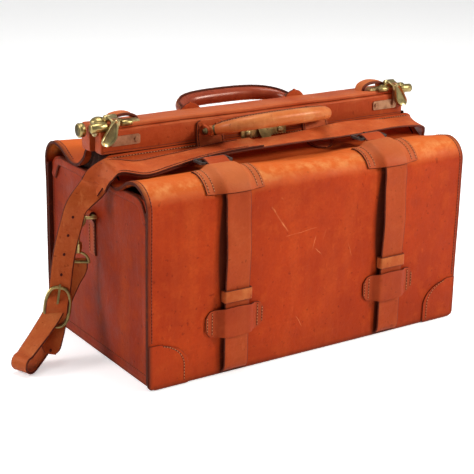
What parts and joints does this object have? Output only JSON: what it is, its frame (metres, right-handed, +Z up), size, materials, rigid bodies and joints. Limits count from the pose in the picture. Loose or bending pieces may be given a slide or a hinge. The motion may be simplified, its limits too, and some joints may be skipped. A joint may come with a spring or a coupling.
{
  "type": "doctor bag",
  "caption": "Framed leather doctor bag with a hinged mouth, rolled handles, wrap-round straps, end catches and a clip-on shoulder strap.",
  "frame": {"origin": "centre of the base's underside, on the floor", "axes": "+X along the bag's length towards its right end, -Y towards the front, +Z up"},
  "size_m": [0.7124, 0.3034, 0.3349],
  "materials": {
    "body_leather": "satin, worn",
    "strap_leather": "satin, worn",
    "edge_leather": "burnished edge",
    "brass": "aged",
    "steel": "dull",
    "board": "fibre board",
    "lining": "woven cloth"
  },
  "bodies": {
    "bag": {"base_panel": "body_leather", "base_board": "board", "front_panel": "body_leather", "back_panel": "body_leather", "left_end_panel": "body_leather", "right_end_panel": "body_leather", "front_welt": "edge_leather", "back_welt": "edge_leather", "corner_patches": "body_leather", "end_rims": "body_leather", "end_boards": "board", "lining": "lining", "front_shelf": "body_leather", "rear_shelf": "body_leather", "left_gusset": "edge_leather", "right_gusset": "edge_leather", "pivot_rivets": "steel", "left_strap": "strap_leather", "right_strap": "strap_leather", "front_upper_keepers": "strap_leather", "back_upper_keepers": "strap_leather", "lower_keepers": "strap_leather", "left_strap_buckle": "steel", "right_strap_buckle": "steel", "ring_chapes": "strap_leather", "shoulder_strap": "strap_leather", "buckle_strap": "strap_leather", "shoulder_buckle": "brass"},
    "front_frame": {"front_frame_cover": "body_leather", "front_frame_steel": "steel", "catch_plates": "brass", "catch_pins": "brass", "front_handle_chapes": "strap_leather", "front_handle_pins": "brass", "lock_plate": "brass"},
    "rear_frame": {"rear_frame_cover": "body_leather", "rear_frame_steel": "steel", "catch_bars": "brass", "rear_handle_chapes": "strap_leather", "rear_handle_pins": "brass", "lock_strike": "steel"},
    "front_handle": {"front_handle": "body_leather"},
    "rear_handle": {"rear_handle": "body_leather"},
    "left_catch": {"left_catch_lever": "brass"},
    "right_catch": {"right_catch_lever": "brass"},
    "lock_slide": {"lock_slide": "brass"},
    "lock_bolt": {"lock_bolt": "steel"},
    "left_slider": {"left_slider_loop": "strap_leather"},
    "right_slider": {"right_slider_loop": "strap_leather"},
    "left_prong": {"left_buckle_prong": "steel"},
    "right_prong": {"right_buckle_prong": "steel"},
    "left_ring": {"left_d_ring": "brass", "left_swivel_eye": "brass"},
    "right_ring": {"right_d_ring": "brass", "right_swivel_eye": "brass"},
    "left_hook": {"left_snap_hook": "brass"},
    "right_hook": {"right_snap_hook": "brass"},
    "left_gate": {"left_hook_gate": "brass"},
    "right_gate": {"right_hook_gate": "brass"},
    "strap_prong": {"shoulder_buckle_prong": "brass"}
  },
  "joints": [
    {"name": "front_frame", "type": "hinge", "parent": "bag", "child": "front_frame", "pos_m": [0, 0, 0.2], "axis": [1, 0, 0], "range_deg": [0, 19], "deforming": ["front_shelf", "left_gusset", "right_gusset", "shoulder_strap"]},
    {"name": "rear_frame", "type": "hinge", "parent": "bag", "child": "rear_frame", "pos_m": [0, 0, 0.2], "axis": [-1, 0, 0], "range_deg": [0, 20], "deforming": ["rear_shelf"]},
    {"name": "front_handle", "type": "hinge", "parent": "front_frame", "child": "front_handle", "pos_m": [-0.008, -0.037, 0.303], "axis": [-1, 0, 0], "range_deg": [0, 70]},
    {"name": "rear_handle", "type": "hinge", "parent": "rear_frame", "child": "rear_handle", "pos_m": [-0.008, 0.037, 0.312], "axis": [1, 0, 0], "range_deg": [0, 78]},
    {"name": "left_catch", "type": "hinge", "parent": "front_frame", "child": "left_catch", "pos_m": [-0.241, -0.013, 0.3315], "axis": [-1, 0, 0], "range_deg": [0, 100]},
    {"name": "right_catch", "type": "hinge", "parent": "front_frame", "child": "right_catch", "pos_m": [0.225, -0.013, 0.3315], "axis": [-1, 0, 0], "range_deg": [0, 100]},
    {"name": "lock_slide", "type": "slide", "parent": "front_frame", "child": "lock_slide", "axis": [1, 0, 0], "range_m": [0, 0.008]},
    {"name": "lock_bolt", "type": "slide", "parent": "front_frame", "child": "lock_bolt", "axis": [1, 0, 0], "range_m": [0, 0.008]},
    {"name": "left_slider", "type": "slide", "parent": "bag", "child": "left_slider", "axis": [0, 0, 1], "range_m": [-0.005, 0.12]},
    {"name": "right_slider", "type": "slide", "parent": "bag", "child": "right_slider", "axis": [0, 0, 1], "range_m": [-0.005, 0.12]},
    {"name": "left_prong", "type": "hinge", "parent": "bag", "child": "left_prong", "pos_m": [-0.13, -0.088, 0.2785], "axis": [1, 0, 0], "range_deg": [0, 80]},
    {"name": "right_prong", "type": "hinge", "parent": "bag", "child": "right_prong", "pos_m": [0.13, -0.088, 0.2785], "axis": [1, 0, 0], "range_deg": [0, 80]},
    {"name": "left_ring", "type": "hinge", "parent": "bag", "child": "left_ring", "pos_m": [-0.2588, 0.014, 0.197], "axis": [0, 1, 0], "range_deg": [0, 25], "deforming": ["buckle_strap"]},
    {"name": "right_ring", "type": "hinge", "parent": "bag", "child": "right_ring", "pos_m": [0.2588, 0.014, 0.197], "axis": [0, -1, 0], "range_deg": [0, 25], "deforming": ["shoulder_strap"]},
    {"name": "left_hook", "type": "hinge", "parent": "left_ring", "child": "left_hook", "pos_m": [-0.2768, 0.014, 0.17], "axis": [0, 0, 1], "range_deg": [-20, 20]},
    {"name": "right_hook", "type": "hinge", "parent": "right_ring", "child": "right_hook", "pos_m": [0.2768, 0.014, 0.17], "axis": [0, 0, 1], "range_deg": [-20, 20]},
    {"name": "left_gate", "type": "hinge", "parent": "left_hook", "child": "left_gate", "pos_m": [-0.28484, 0.014, 0.18445], "axis": [0, 1, 0], "range_deg": [0, 30], "stiffness_Nm_per_rad": 0.02},
    {"name": "right_gate", "type": "hinge", "parent": "right_hook", "child": "right_gate", "pos_m": [0.28484, 0.014, 0.18445], "axis": [0, -1, 0], "range_deg": [0, 30], "stiffness_Nm_per_rad": 0.02},
    {"name": "strap_prong", "type": "hinge", "parent": "bag", "child": "strap_prong", "pos_m": [-0.31024, 0.01242, 0.07423], "axis": [0.8234, -0.5554, -0.1167], "range_deg": [0, 70]}
  ],
  "couplings": [
    {"joint": "lock_bolt", "follows": "lock_slide", "ratio": 1}
  ]
}
